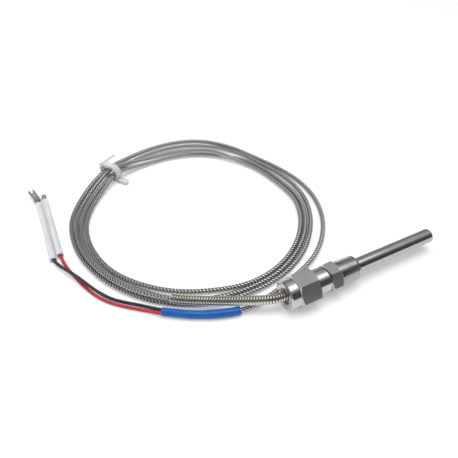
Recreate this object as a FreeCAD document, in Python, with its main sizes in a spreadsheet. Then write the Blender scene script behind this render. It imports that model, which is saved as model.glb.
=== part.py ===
import FreeCAD, Part
import math
import os

import Sketcher

os.makedirs("parts", exist_ok=True)

# Exhaust gas temperature sensor with a compression fitting and a coiled braided cable.
# Millimetres. The probe lies along X with its tip at +X, and z = 0 is the surface it lies on.

SIZES = (
    # probe
    ("sheath_diameter", 6.35),
    ("sheath_wall", 0.6),
    ("tip_wall", 1.0),
    ("tip_rounding", 0.9),
    ("exposed_length", 41.5),
    ("sheath_recess", 0.8),
    # inside of the probe
    ("insulator_gap", 0.15),
    ("insulator_rear_gap", 2.0),
    ("wire_diameter", 0.5),
    ("wire_spacing", 1.6),
    ("wire_gap", 0.1),
    ("bead_diameter", 2.6),
    ("bead_length", 1.6),
    ("bead_rounding", 0.7),
    ("tip_gap", 0.4),
    ("seal_length", 3.5),
    ("seal_gap", 0.03),
    # compression fitting: ferrules and cone seat, as walls round the sheath
    ("sheath_clearance", 0.05),
    ("ferrule_clearance", 0.04),
    ("ferrule_wall", 1.45),
    ("cone_wall", 1.15),
    ("nose_wall", 0.4),
    ("flange_length", 0.9),
    ("cone_length", 2.5),
    ("back_ferrule_length", 1.8),
    ("back_chamfer", 0.6),
    ("seat_gap", 0.05),
    # fitting body
    ("stub_wall", 1.025),
    ("neck_length", 6.0),
    ("relief_width", 0.8),
    ("relief_depth", 0.4),
    ("stub_chamfer", 0.5),
    ("hex_step", 0.1),
    ("body_hex_length", 5.0),
    ("npt_small_diameter", 10.0),
    ("npt_length", 10.0),
    ("npt_taper", 16.0),
    ("npt_end_chamfer", 0.6),
    # nut
    ("thread_clearance", 0.1),
    ("nut_wall", 1.0),
    ("nut_hex_length", 9.2),
    ("collar_length", 4.3),
    ("collar_step", 0.25),
    ("collar_chamfer", 0.5),
    ("nut_clearance", 0.1),
    ("rear_bore_length", 5.2),
    ("rear_countersink", 0.35),
    ("mouth_chamfer", 0.4),
    ("corner_inset", 0.1),
    ("corner_slope", 0.577),
    ("corner_margin", 0.4),
    # cable, spring and coil
    ("cable_diameter", 2.4),
    ("spring_diameter", 4.0),
    ("spring_wire", 0.62),
    ("spring_depth", 4.0),
    ("conductor_step", 0.8),
    ("coil_centre_x", -43.7),
    ("coil_centre_y", 72.1),
    ("coil_layer", 2.5),
    ("coil_bevel", 0.7),
    # tie
    ("tie_angle", 121.0),
    ("tie_radius", 52.9),
    ("tie_inner_width", 10.4),
    ("tie_inner_height", 6.6),
    ("tie_thickness", 1.1),
    ("tie_width", 3.2),
    ("tie_gap", 0.1),
    ("tie_side_gap", 0.6),
    ("tie_cut_reach", 16.0),
    ("neck_overlap", 2.0),
    ("tie_head_length", 6.2),
    ("tie_head_height", 1.9),
    ("tie_head_width", 3.0),
    ("tie_head_rounding", 1.4),
    ("tie_head_bite", 0.2),
    ("tie_end_length", 6.5),
    ("tie_end_tilt", 38.0),
    ("tie_end_bite", 0.4),
    # heat-shrink sleeve and leads
    ("shrink_diameter", 3.6),
    ("shrink_wall", 0.3),
    ("shrink_drop", 0.1),
    ("lead_diameter", 1.4),
    # terminal sleeves
    ("sleeve_length", 43.0),
    ("sleeve_diameter", 2.8),
    ("sleeve_wall", 0.3),
    ("bell_length", 17.0),
    ("bell_step", 0.1),
    ("sleeve_turn", -3.4),
    ("black_mouth_x", -112.8),
    ("black_mouth_y", 67.8),
    ("red_mouth_x", -109.5),
    ("red_mouth_y", 69.2),
    # terminals
    ("barrel_length", 6.0),
    ("barrel_wall", 0.28),
    ("barrel_gap", 0.02),
    ("barrel_depth", 9.0),
    ("sheet_thickness", 0.4),
    ("shank_width", 1.7),
    ("shank_overlap", 1.0),
    ("tab_start", 0.3),
    ("tab_width", 2.3),
    ("tab_reach", 5.2),
    ("tab_rounding", 1.0),
    ("receptacle_start", 1.9),
    ("receptacle_length", 9.0),
    ("receptacle_bend", 13.0),
    ("receptacle_width", 3.6),
    ("receptacle_height", 2.0),
    ("receptacle_lip", 1.3),
    ("receptacle_roll", 0.9),
)

# Middle lines of the cords, chosen by hand.
SPRING_POINTS = (
    (-40.6, 0.0, 6.5),
    (-47.2, 3.3, 5.9),
    (-53.3, 6.9, 5.3),
    (-60.2, 10.8, 4.95),
    (-67.0, 14.8, 4.8),
    (-73.6, 18.8, 4.7),
)
COIL_ENTRY_POINTS = (
    (-79.6, 23.8, 4.4),
    (-84.2, 28.4, 4.05),
    (-88.1, 33.2, 3.75),
)

TAIL_POINTS = (
    (10.5, 85.6, 1.25),
    (14.4, 72.1, 1.25),
    (15.2, 59.5, 1.25),
    (12.8, 47.0, 1.25),
    (7.4, 35.0, 1.25),
    (-0.9, 24.5, 1.25),
    (-11.0, 16.5, 1.25),
    (-21.0, 12.2, 1.25),
    (-29.5, 9.5, 1.25),
    (-37.5, 7.2, 1.25),
    (-45.8, 5.15, 1.55),
    (-51.6, 4.75, 1.85),
)
SLEEVED_TAIL_POINTS = (
    (-57.2, 5.85, 1.85),
    (-62.2, 7.6, 1.85),
    (-67.0, 9.6, 1.85),
)
SHRINK_END_POINTS = (
    (-71.9, 12.2, 1.85),
    (-76.9, 15.5, 1.85),
    (-81.8, 19.2, 1.85),
)

BLACK_POINTS = (
    (-68.42, 11.15, 1.85),
    (-71.5, 12.8, 1.85),
    (-76.4, 16.1, 1.85),
    (-81.3, 19.8, 1.75),
    (-84.9, 23.9, 1.0),
    (-88.4, 27.4, 0.75),
    (-92.8, 31.2, 0.75),
    (-97.3, 35.4, 1.0),
    (-101.2, 40.8, 2.1),
    (-104.1, 46.2, 3.3),
    (-106.6, 52.4, 3.3),
    (-109.4, 58.8, 2.3),
    (-111.5, 63.6, 1.7),
)
RED_POINTS = (
    (-69.15, 9.9, 1.85),
    (-72.3, 11.6, 1.85),
    (-77.4, 14.9, 1.85),
    (-82.3, 18.6, 1.75),
    (-85.8, 22.3, 1.0),
    (-89.6, 25.7, 0.75),
    (-94.4, 29.9, 0.75),
    (-99.2, 35.0, 0.75),
    (-102.6, 40.9, 0.75),
    (-104.8, 46.8, 0.75),
    (-106.4, 52.2, 0.75),
    (-107.9, 57.8, 0.75),
    (-109.0, 63.4, 1.1),
)

# Edges of the passes that lie side by side, as (angle, inner radius, outer radius).
COIL_EDGES = (
    (222, 52.3, 61.0),
    (205, 52.2, 59.9),
    (190, 51.4, 59.4),
    (175, 50.6, 59.5),
    (162, 49.6, 60.0),
    (150, 48.3, 60.1),
    (140, 47.3, 59.5),
    (121, 47.0, 58.0),
    (106, 46.5, 58.3),
    (90, 46.2, 59.6),
    (75, 46.7, 60.6),
    (60, 46.8, 60.3),
    (50, 46.5, 59.3),
    (40, 45.7, 58.2),
    (30, 45.6, 57.0),
    (20, 45.7, 56.5),
    (10, 45.9, 54.6),
    (0, 46.4, 54.6),
    (-10, 47.9, 56.1),
    (-20, 49.5, 57.6),
    (-45, 51.1, 58.9),
    (-60, 52.5, 60.2),
    (-75, 53.6, 61.0),
    (-90, 53.8, 61.3),
    (-108, 52.6, 61.5),
    (-123, 52.5, 61.6),
)
# Two stretches that lie on top of the others, as (angle, radius, height).
FIRST_TURN = (
    (221, 59.0, 3.75),
    (205, 58.3, 3.55),
    (185, 57.7, 3.45),
    (165, 56.9, 3.4),
    (148, 56.0, 3.5),
    (134, 54.8, 4.0),
    (121, 54.0, 4.6),
    (108, 53.0, 4.2),
    (95, 52.3, 3.7),
    (80, 51.6, 3.5),
    (65, 50.6, 3.5),
    (53, 48.9, 3.6),
    (44, 47.4, 3.2),
    (35, 46.9, 1.9),
    (26, 47.0, 1.4),
)
LAST_TURN = (
    (112, 56.5, 2.0),
    (98, 57.6, 2.1),
    (86, 58.6, 2.9),
    (74, 59.2, 3.4),
    (62, 59.0, 3.4),
    (50, 58.0, 2.8),
    (40, 57.0, 1.9),
    (30, 55.8, 1.3),
)

UP = FreeCAD.Vector(0, 0, 1)
SIDEWAYS = FreeCAD.Vector(0, 1, 0)
# Lengths that differ by less than this count as equal.
NEAR = 1e-3

DOC = FreeCAD.newDocument("temperature_sensor")
SHEET = DOC.addObject("Spreadsheet::Sheet", "Sizes")
for row, (alias, number) in enumerate(SIZES, start=1):
    SHEET.set("A%d" % row, alias)
    SHEET.set("B%d" % row, str(number))
    SHEET.setAlias("B%d" % row, alias)
DOC.recompute()


def size(alias):
    return float(getattr(SHEET, alias))


def value(expression):
    return float(SHEET.evalExpression(expression))


# Lengths and radii that several pieces share, as formulas of the sheet.
SHEATH_R = "(Sizes.sheath_diameter / 2)"
SHEATH_BORE_R = "(%s - Sizes.sheath_wall)" % SHEATH_R
FERRULE_BORE_R = "(%s + Sizes.ferrule_clearance)" % SHEATH_R
BODY_BORE_R = "(%s + Sizes.sheath_clearance)" % SHEATH_R
REAR_BORE_R = "(%s + Sizes.nut_clearance)" % SHEATH_R
NECK_R = "(%s + Sizes.cone_wall + Sizes.seat_gap + Sizes.stub_wall)" % SHEATH_R
NUT_BORE_R = "(%s + Sizes.thread_clearance)" % NECK_R
NUT_FLATS = "(2 * (%s + Sizes.nut_wall))" % NUT_BORE_R
BODY_FLATS = "(2 * (%s + Sizes.hex_step))" % NECK_R
AXIS_HEIGHT = "(%s / 2)" % NUT_FLATS
NUT_LENGTH = "(Sizes.collar_length + Sizes.nut_hex_length)"
FRONT_LENGTH = "(Sizes.neck_length + Sizes.body_hex_length + Sizes.npt_length + Sizes.exposed_length)"
NUT_BACK = "(-(%s + %s) / 2)" % (NUT_LENGTH, FRONT_LENGTH)
TIP = "((%s + %s) / 2)" % (NUT_LENGTH, FRONT_LENGTH)
SHEATH_REAR = "(%s + Sizes.sheath_recess)" % NUT_BACK
BACK_FERRULE_X = "(%s + Sizes.rear_bore_length + Sizes.seat_gap)" % NUT_BACK
FRONT_FERRULE_X = "(%s + Sizes.back_ferrule_length + Sizes.seat_gap)" % BACK_FERRULE_X
STUB_X = "(%s + Sizes.flange_length + Sizes.seat_gap)" % FRONT_FERRULE_X
STUB_LENGTH = "(%s + %s - %s)" % (NUT_BACK, NUT_LENGTH, STUB_X)
HEX_START = "(%s + Sizes.neck_length)" % STUB_LENGTH
HEX_END = "(%s + Sizes.body_hex_length)" % HEX_START
BODY_LENGTH = "(%s + Sizes.npt_length)" % HEX_END
NPT_SMALL_R = "(Sizes.npt_small_diameter / 2)"
NPT_LARGE_R = "(%s + Sizes.npt_length / Sizes.npt_taper / 2)" % NPT_SMALL_R
CABLE_FRONT_X = "(%s + Sizes.spring_depth + Sizes.conductor_step)" % SHEATH_REAR
BEAD_X = "(%s - Sizes.tip_wall - Sizes.tip_gap - Sizes.bead_length)" % TIP


def new_body(label, x=None, z=None):
    body = DOC.addObject("PartDesign::Body", label)
    body.Label = label
    if x:
        body.setExpression("Placement.Base.x", x)
        body.setExpression("Placement.Base.z", z)
    return body


def new_sketch(body, name, role, offset=None):
    sketch = body.newObject("Sketcher::SketchObject", "%s_%s" % (body.Label, name))
    for feature in body.Origin.OriginFeatures:
        if feature.Role == role:
            sketch.AttachmentSupport = [(feature, "")]
    sketch.MapMode = "FlatFace"
    if offset:
        sketch.setExpression("AttachmentOffset.Base.z", offset)
    return sketch


def bind(sketch, constraint, expression):
    index = sketch.addConstraint(constraint)
    sketch.setExpression("Constraints[%d]" % index, expression)


def pin(sketch, kind, geometry, position, expression):
    # holds one point of the sketch at a signed distance from the origin
    distance = value(expression)
    if abs(distance) < NEAR:
        axis = -2 if kind == "DistanceX" else -1
        sketch.addConstraint(Sketcher.Constraint("PointOnObject", geometry, position, axis))
    elif distance > 0:
        bind(sketch, Sketcher.Constraint(kind, -1, 1, geometry, position, distance), expression)
    else:
        opposite = "-(%s)" % expression
        bind(sketch, Sketcher.Constraint(kind, geometry, position, -1, 1, -distance), opposite)


def outline(sketch, points):
    corners = [FreeCAD.Vector(value(x), value(y), 0) for x, y in points]
    count = len(corners)
    for i in range(count):
        sketch.addGeometry(Part.LineSegment(corners[i], corners[(i + 1) % count]), False)
    for i in range(count):
        sketch.addConstraint(Sketcher.Constraint("Coincident", i, 2, (i + 1) % count, 1))
    for i, (x, y) in enumerate(points):
        pin(sketch, "DistanceX", i, 1, x)
        pin(sketch, "DistanceY", i, 1, y)


def circle(sketch, across, radius):
    centre = FreeCAD.Vector(value(across), 0, 0)
    index = sketch.addGeometry(Part.Circle(centre, UP, value(radius)), False)
    pin(sketch, "DistanceX", index, 3, across)
    sketch.addConstraint(Sketcher.Constraint("PointOnObject", index, 3, -1))
    bind(sketch, Sketcher.Constraint("Radius", index, value(radius)), radius)


def raised_circle(sketch, height, radius):
    centre = FreeCAD.Vector(0, value(height), 0)
    index = sketch.addGeometry(Part.Circle(centre, UP, value(radius)), False)
    sketch.addConstraint(Sketcher.Constraint("PointOnObject", index, 3, -2))
    pin(sketch, "DistanceY", index, 3, height)
    bind(sketch, Sketcher.Constraint("Radius", index, value(radius)), radius)


def hexagon(sketch, flats):
    corner = value(flats) / math.sqrt(3)
    corners = []
    for i in range(7):
        turn = math.radians(60 * i)
        corners.append(FreeCAD.Vector(corner * math.cos(turn), corner * math.sin(turn), 0))
    for i in range(6):
        sketch.addGeometry(Part.LineSegment(corners[i], corners[i + 1]), False)
    guide = Part.Circle(FreeCAD.Vector(0, 0, 0), UP, corner)
    ring = sketch.addGeometry(guide, True)
    sketch.addConstraint(Sketcher.Constraint("Coincident", ring, 3, -1, 1))
    for i in range(6):
        sketch.addConstraint(Sketcher.Constraint("Coincident", i, 2, (i + 1) % 6, 1))
        sketch.addConstraint(Sketcher.Constraint("PointOnObject", i, 1, ring))
    for i in range(1, 6):
        sketch.addConstraint(Sketcher.Constraint("Equal", 0, i))
    sketch.addConstraint(Sketcher.Constraint("Horizontal", 1))
    bind(sketch, Sketcher.Constraint("DistanceY", 4, 1, 1, 1, value(flats)), flats)


def turned(body, name, points, kind="Revolution"):
    # points are (along the axis, radius)
    sketch = new_sketch(body, name, "XZ_Plane")
    outline(sketch, points)
    feature = body.newObject("PartDesign::%s" % kind, "%s_%s_turn" % (body.Label, name))
    feature.Profile = sketch
    feature.ReferenceAxis = (sketch, ["H_Axis"])
    feature.Angle = 360
    DOC.recompute()
    return feature


def padded(body, sketch, length, backwards=False):
    pad = body.newObject("PartDesign::Pad", "%s_pad" % sketch.Name)
    pad.Profile = sketch
    pad.Reversed = backwards
    pad.setExpression("Length", length)
    DOC.recompute()
    return pad


def rounded(body, name, radius, chosen):
    DOC.recompute()
    tip = body.Tip
    names = []
    for index, edge in enumerate(tip.Shape.Edges, start=1):
        if chosen(edge):
            names.append("Edge%d" % index)
    fillet = body.newObject("PartDesign::Fillet", "%s_%s" % (body.Label, name))
    fillet.Base = (tip, names)
    fillet.setExpression("Radius", radius)
    DOC.recompute()
    return fillet


def corner_cut(body, name, flats, face_x, inward):
    # thirty degree chamfer that takes the corners off one end of a hexagon
    chamfer_r = "(%s / 2 - Sizes.corner_inset)" % flats
    outer_r = "(%s / sqrt(3) + Sizes.corner_margin)" % flats
    back_x = "(%s %s (%s - %s) * Sizes.corner_slope)" % (face_x, inward, outer_r, chamfer_r)
    points = ((face_x, chamfer_r), (face_x, outer_r), (back_x, outer_r))
    turned(body, name, points, "Groove")


def make_sheath():
    body = new_body("probe_sheath", SHEATH_REAR, AXIS_HEIGHT)
    length = "(%s - %s)" % (TIP, SHEATH_REAR)
    inner_end = "(%s - Sizes.tip_wall)" % length
    points = (
        ("0", SHEATH_BORE_R),
        ("0", SHEATH_R),
        (length, SHEATH_R),
        (length, "0"),
        (inner_end, "0"),
        (inner_end, SHEATH_BORE_R),
    )
    turned(body, "wall", points)
    end = value(length)
    rim = value(SHEATH_R)

    def is_tip_rim(edge):
        box = edge.BoundBox
        return box.XMin > end - NEAR and box.ZMax > rim - NEAR

    rounded(body, "tip", "Sizes.tip_rounding", is_tip_rim)
    return body


def make_insulator():
    rear = "(%s + Sizes.insulator_rear_gap)" % CABLE_FRONT_X
    body = new_body("ceramic_insulator", rear, AXIS_HEIGHT)
    sketch = new_sketch(body, "section", "YZ_Plane")
    circle(sketch, "0", "%s - Sizes.insulator_gap" % SHEATH_BORE_R)
    wire_r = "Sizes.wire_diameter / 2 + Sizes.wire_gap"
    circle(sketch, "Sizes.wire_spacing / 2", wire_r)
    circle(sketch, "-Sizes.wire_spacing / 2", wire_r)
    padded(body, sketch, "%s - %s" % (BEAD_X, rear))
    return body


def make_thermoelement(label, side):
    body = new_body(label, CABLE_FRONT_X, AXIS_HEIGHT)
    sketch = new_sketch(body, "section", "YZ_Plane")
    circle(sketch, "%s Sizes.wire_spacing / 2" % side, "Sizes.wire_diameter / 2")
    padded(body, sketch, "%s - %s" % (BEAD_X, CABLE_FRONT_X))
    return body


def make_junction():
    body = new_body("measuring_junction", BEAD_X, AXIS_HEIGHT)
    radius = "Sizes.bead_diameter / 2"
    points = (("0", "0"), ("0", radius), ("Sizes.bead_length", radius), ("Sizes.bead_length", "0"))
    turned(body, "bead", points)
    end = size("bead_length")

    def is_front_rim(edge):
        return edge.BoundBox.XMin > end - NEAR

    rounded(body, "dome", "Sizes.bead_rounding", is_front_rim)
    return body


def make_seal():
    body = new_body("end_seal", SHEATH_REAR, AXIS_HEIGHT)
    inner = "Sizes.spring_diameter / 2 + Sizes.seal_gap"
    outer = "%s - Sizes.seal_gap" % SHEATH_BORE_R
    length = "Sizes.seal_length"
    turned(body, "ring", (("0", inner), ("0", outer), (length, outer), (length, inner)))
    return body


def make_fitting_body():
    body = new_body("fitting_body", STUB_X, AXIS_HEIGHT)
    chamfer_start = "(%s - Sizes.npt_end_chamfer)" % BODY_LENGTH
    relief_r = "(%s - Sizes.relief_depth)" % NECK_R
    relief_x = "(%s - Sizes.relief_width)" % HEX_START
    points = (
        ("0", "0"),
        ("0", "%s - Sizes.stub_chamfer" % NECK_R),
        ("Sizes.stub_chamfer", NECK_R),
        (relief_x, NECK_R),
        (relief_x, relief_r),
        (HEX_END, relief_r),
        (HEX_END, NPT_LARGE_R),
        (chamfer_start, NPT_SMALL_R),
        (BODY_LENGTH, "%s - Sizes.npt_end_chamfer" % NPT_SMALL_R),
        (BODY_LENGTH, "0"),
    )
    turned(body, "stem", points)
    sketch = new_sketch(body, "hexagon", "YZ_Plane", HEX_START)
    hexagon(sketch, BODY_FLATS)
    padded(body, sketch, "Sizes.body_hex_length")
    corner_cut(body, "rear_corners", BODY_FLATS, HEX_START, "+")
    corner_cut(body, "front_corners", BODY_FLATS, HEX_END, "-")
    bore = (
        ("0", "0"),
        ("0", "%s + Sizes.cone_wall + Sizes.seat_gap" % SHEATH_R),
        ("Sizes.cone_length", "%s + Sizes.nose_wall + Sizes.seat_gap" % SHEATH_R),
        ("Sizes.cone_length", BODY_BORE_R),
        (BODY_LENGTH, BODY_BORE_R),
        (BODY_LENGTH, "0"),
    )
    turned(body, "bore", bore, "Groove")
    return body


def make_nut():
    body = new_body("compression_nut", NUT_BACK, AXIS_HEIGHT)
    collar_r = "(%s / 2 - Sizes.collar_step)" % NUT_FLATS
    points = (
        ("0", "0"),
        ("0", "%s - Sizes.collar_chamfer" % collar_r),
        ("Sizes.collar_chamfer", collar_r),
        (NUT_LENGTH, collar_r),
        (NUT_LENGTH, "0"),
    )
    turned(body, "collar", points)
    sketch = new_sketch(body, "hexagon", "YZ_Plane", "Sizes.collar_length")
    hexagon(sketch, NUT_FLATS)
    padded(body, sketch, "Sizes.nut_hex_length")
    corner_cut(body, "rear_corners", NUT_FLATS, "Sizes.collar_length", "+")
    corner_cut(body, "front_corners", NUT_FLATS, NUT_LENGTH, "-")
    bore = (
        ("0", "0"),
        ("0", "%s + Sizes.rear_countersink" % REAR_BORE_R),
        ("Sizes.rear_countersink", REAR_BORE_R),
        ("Sizes.rear_bore_length", REAR_BORE_R),
        ("Sizes.rear_bore_length", NUT_BORE_R),
        ("%s - Sizes.mouth_chamfer" % NUT_LENGTH, NUT_BORE_R),
        (NUT_LENGTH, "%s + Sizes.mouth_chamfer" % NUT_BORE_R),
        (NUT_LENGTH, "0"),
    )
    turned(body, "bore", bore, "Groove")
    return body


def make_back_ferrule():
    body = new_body("back_ferrule", BACK_FERRULE_X, AXIS_HEIGHT)
    outer = "(%s + Sizes.ferrule_wall)" % SHEATH_R
    points = (
        ("0", FERRULE_BORE_R),
        ("0", "%s - Sizes.back_chamfer" % outer),
        ("Sizes.back_chamfer", outer),
        ("Sizes.back_ferrule_length / 2", outer),
        ("Sizes.back_ferrule_length", "%s + Sizes.nose_wall" % SHEATH_R),
        ("Sizes.back_ferrule_length", FERRULE_BORE_R),
    )
    turned(body, "ring", points)
    return body


def make_front_ferrule():
    body = new_body("front_ferrule", FRONT_FERRULE_X, AXIS_HEIGHT)
    outer = "%s + Sizes.ferrule_wall" % SHEATH_R
    length = "Sizes.flange_length + Sizes.cone_length"
    points = (
        ("0", FERRULE_BORE_R),
        ("0", outer),
        ("Sizes.flange_length", outer),
        ("Sizes.flange_length", "%s + Sizes.cone_wall" % SHEATH_R),
        (length, "%s + Sizes.nose_wall" % SHEATH_R),
        (length, FERRULE_BORE_R),
    )
    turned(body, "cone", points)
    return body


def vectors(points):
    return [FreeCAD.Vector(*point) for point in points]


def direction(start, end):
    return (end - start).normalize()


# Share of the shorter run that the bend at a corner takes up.
BEND_SHARE = 0.45


def corner_radii(points):
    # largest bend that both runs of a corner leave room for
    radii = []
    for before, corner, after in zip(points, points[1:], points[2:]):
        turn = direction(before, corner).getAngle(direction(corner, after))
        run = min((corner - before).Length, (after - corner).Length)
        radii.append(BEND_SHARE * run / math.tan(turn / 2))
    return radii


def route(points, radii):
    edges = []
    start = points[0]
    for corner, after, radius in zip(points[1:], points[2:], radii):
        come = direction(start, corner)
        leave = direction(corner, after)
        half = come.getAngle(leave) / 2
        reach = radius * math.tan(half)
        arc_start = corner - come * reach
        arc_end = corner + leave * reach
        inward = (leave - come).normalize()
        middle = corner + inward * (radius / math.cos(half) - radius)
        edges.append(Part.LineSegment(start, arc_start).toShape())
        edges.append(Part.Arc(arc_start, middle, arc_end).toShape())
        start = arc_end
    edges.append(Part.LineSegment(start, points[-1]).toShape())
    return Part.Wire(edges)


def rod(points, radii, radius):
    ring = Part.Circle(points[0], direction(points[0], points[1]), radius)
    face = Part.Face(Part.Wire(ring.toShape()))
    return route(points, radii).makePipe(face)


def plain_shape(label, shape, placement=None):
    feature = DOC.addObject("Part::Feature", label)
    feature.Label = label
    feature.Shape = shape
    if placement:
        feature.Placement = placement
    return feature


def report_route(label, points, radii, radius, shape):
    length = route(points, radii).Length
    expected = math.pi * radius ** 2 * length
    print("%s: length %.1f, smallest bend %.1f, volume %.1f of %.1f"
          % (label, length, min(radii), shape.Volume, expected))


def make_cord(label, points, radii, radius):
    shape = rod(points, radii, radius)
    report_route(label, points, radii, radius, shape)
    return plain_shape(label, shape)


def make_lead_in():
    cable_r = size("cable_diameter") / 2
    front = FreeCAD.Vector(value(CABLE_FRONT_X), 0, value(AXIS_HEIGHT))
    covered = vectors(SPRING_POINTS)
    bare = vectors(COIL_ENTRY_POINTS)
    points = [front] + covered + bare
    radii = corner_radii(points)
    cable = make_cord("cable_lead_in", points, radii, cable_r)
    spring_front = front - FreeCAD.Vector(size("conductor_step"), 0, 0)
    spring_points = [spring_front] + covered + [(covered[-1] + bare[0]) / 2]
    spring_r = size("spring_diameter") / 2
    outer = rod(spring_points, radii, spring_r)
    inner = rod(spring_points, radii, spring_r - size("spring_wire"))
    report_route("strain_relief_spring", spring_points, radii, spring_r, outer)
    return [cable, plain_shape("strain_relief_spring", outer.cut(inner))]


def make_tail():
    bare = vectors(TAIL_POINTS)
    sleeved = vectors(SLEEVED_TAIL_POINTS)
    leads_end = vectors(SHRINK_END_POINTS)
    radii = corner_radii(bare + sleeved + leads_end)
    cable_r = size("cable_diameter") / 2
    cable = make_cord("cable_tail", bare + sleeved, radii, cable_r)
    over_cable = [(bare[-1] + sleeved[0]) / 2] + sleeved
    sleeve_points = over_cable + leads_end
    sleeve_radii = radii[len(bare) - 1:]
    outer_r = size("shrink_diameter") / 2
    lead_part_r = outer_r - size("shrink_drop")
    outer = rod(sleeve_points, sleeve_radii, lead_part_r)
    thick = rod(over_cable, sleeve_radii, outer_r)
    bore = rod(sleeve_points, sleeve_radii, outer_r - size("shrink_wall"))
    report_route("heat_shrink_sleeve", sleeve_points, sleeve_radii, lead_part_r, outer)
    return [cable, plain_shape("heat_shrink_sleeve", outer.fuse(thick).cut(bore))]


def sleeve_placement(colour):
    mouth = FreeCAD.Vector(size("%s_mouth_x" % colour), size("%s_mouth_y" % colour), 0)
    turn = FreeCAD.Rotation(UP, size("sleeve_turn"))
    return FreeCAD.Placement(mouth, turn)


SLEEVE_R = "(Sizes.sleeve_diameter / 2)"
SLEEVE_MIDDLE = "(%s + Sizes.bell_step)" % SLEEVE_R
BARREL_START = "(Sizes.sleeve_length - Sizes.barrel_depth)"
BARREL_BORE_R = "(Sizes.lead_diameter / 2 + Sizes.barrel_gap)"


def make_lead(colour, hand_points):
    frame = sleeve_placement(colour)
    level = value(SLEEVE_MIDDLE)
    entry = frame.multVec(FreeCAD.Vector(0, 0, level))
    end_y = value(BARREL_START) + size("barrel_length") / 2
    end = frame.multVec(FreeCAD.Vector(0, end_y, level))
    points = vectors(hand_points) + [entry, end]
    return make_cord("%s_lead" % colour, points, corner_radii(points), size("lead_diameter") / 2)


def make_sleeve(colour):
    body = new_body("%s_terminal_sleeve" % colour)
    body.Placement = sleeve_placement(colour)
    bore_r = "%s - Sizes.sleeve_wall" % SLEEVE_R
    plain = new_sketch(body, "section", "XZ_Plane")
    raised_circle(plain, SLEEVE_MIDDLE, SLEEVE_R)
    raised_circle(plain, SLEEVE_MIDDLE, bore_r)
    padded(body, plain, "Sizes.sleeve_length", True)
    bell = new_sketch(body, "bell", "XZ_Plane")
    raised_circle(bell, SLEEVE_MIDDLE, "%s + Sizes.bell_step" % SLEEVE_R)
    raised_circle(bell, SLEEVE_MIDDLE, bore_r)
    padded(body, bell, "Sizes.bell_length", True)
    return body


def make_terminal(colour):
    body = new_body("%s_terminal" % colour)
    body.Placement = sleeve_placement(colour)
    barrel = new_sketch(body, "barrel", "XZ_Plane", "-%s" % BARREL_START)
    raised_circle(barrel, SLEEVE_MIDDLE, "%s + Sizes.barrel_wall" % BARREL_BORE_R)
    raised_circle(barrel, SLEEVE_MIDDLE, BARREL_BORE_R)
    padded(body, barrel, "Sizes.barrel_length", True)
    return body


SHANK_START = "(%s + Sizes.barrel_length - Sizes.shank_overlap)" % BARREL_START
SHEET_LEVEL = "(%s - Sizes.sheet_thickness / 2)" % SLEEVE_MIDDLE


def mirrored(points):
    # closes a half outline across the vertical axis
    return points + [("-(%s)" % x, y) for x, y in reversed(points)]


def make_tab_terminal(colour):
    body = make_terminal(colour)
    half_shank = "Sizes.shank_width / 2"
    half_tab = "Sizes.tab_width / 2"
    widen = "(Sizes.sleeve_length + Sizes.tab_start)"
    end = "(Sizes.sleeve_length + Sizes.tab_reach)"
    plan = new_sketch(body, "plan", "XY_Plane", SHEET_LEVEL)
    half = [
        (half_shank, SHANK_START),
        (half_shank, widen),
        (half_tab, "%s + (Sizes.tab_width - Sizes.shank_width) / 2" % widen),
        (half_tab, end),
    ]
    outline(plan, mirrored(half))
    padded(body, plan, "Sizes.sheet_thickness")
    end_y = value(end)

    def is_end_corner(edge):
        box = edge.BoundBox
        return box.YMin > end_y - NEAR and box.XLength < NEAR

    rounded(body, "end", "Sizes.tab_rounding", is_end_corner)
    return body


def make_receptacle_terminal(colour):
    body = make_terminal(colour)
    half_shank = "Sizes.shank_width / 2"
    start = "(Sizes.sleeve_length + Sizes.receptacle_start)"
    plan = new_sketch(body, "plan", "XY_Plane", SHEET_LEVEL)
    half = [
        (half_shank, SHANK_START),
        (half_shank, "%s + Sizes.shank_overlap" % start),
    ]
    outline(plan, mirrored(half))
    padded(body, plan, "Sizes.sheet_thickness")
    outer = "(Sizes.receptacle_width / 2)"
    inner = "(%s - Sizes.sheet_thickness)" % outer
    lip = "(%s - Sizes.receptacle_lip)" % outer
    top = "(%s + Sizes.receptacle_height)" % SHEET_LEVEL
    ceiling = "(%s - Sizes.sheet_thickness)" % top
    floor = "(%s + Sizes.sheet_thickness)" % SHEET_LEVEL
    bend = size("receptacle_bend")
    frame = FreeCAD.Placement(FreeCAD.Vector(0, value(start), 0), FreeCAD.Rotation(UP, bend))
    section = new_sketch(body, "rolls", "XZ_Plane")
    # the plane's own second axis points up
    section.AttachmentOffset.Rotation = FreeCAD.Rotation(SIDEWAYS, bend)
    section.setExpression("AttachmentOffset.Base.z", "-%s" % start)
    half = [
        (outer, SHEET_LEVEL),
        (outer, top),
        (lip, top),
        (lip, ceiling),
        (inner, ceiling),
        (inner, floor),
    ]
    outline(section, mirrored(half))
    padded(body, section, "Sizes.receptacle_length", True)
    length = size("receptacle_length")
    outer_x = value(outer)
    inner_x = value(inner)

    def is_long_edge(edge, across):
        middle = frame.inverse().multVec(edge.CenterOfMass)
        return abs(edge.Length - length) < NEAR and abs(abs(middle.x) - across) < NEAR

    rounded(body, "outer_rolls", "Sizes.receptacle_roll", lambda edge: is_long_edge(edge, outer_x))
    inner_roll = "Sizes.receptacle_roll - Sizes.sheet_thickness"
    rounded(body, "inner_rolls", inner_roll, lambda edge: is_long_edge(edge, inner_x))
    return body


def coil_point(radius, height, angle):
    turn = math.radians(angle)
    x = size("coil_centre_x") + radius * math.cos(turn)
    y = size("coil_centre_y") + radius * math.sin(turn)
    return FreeCAD.Vector(x, y, height)


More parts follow.
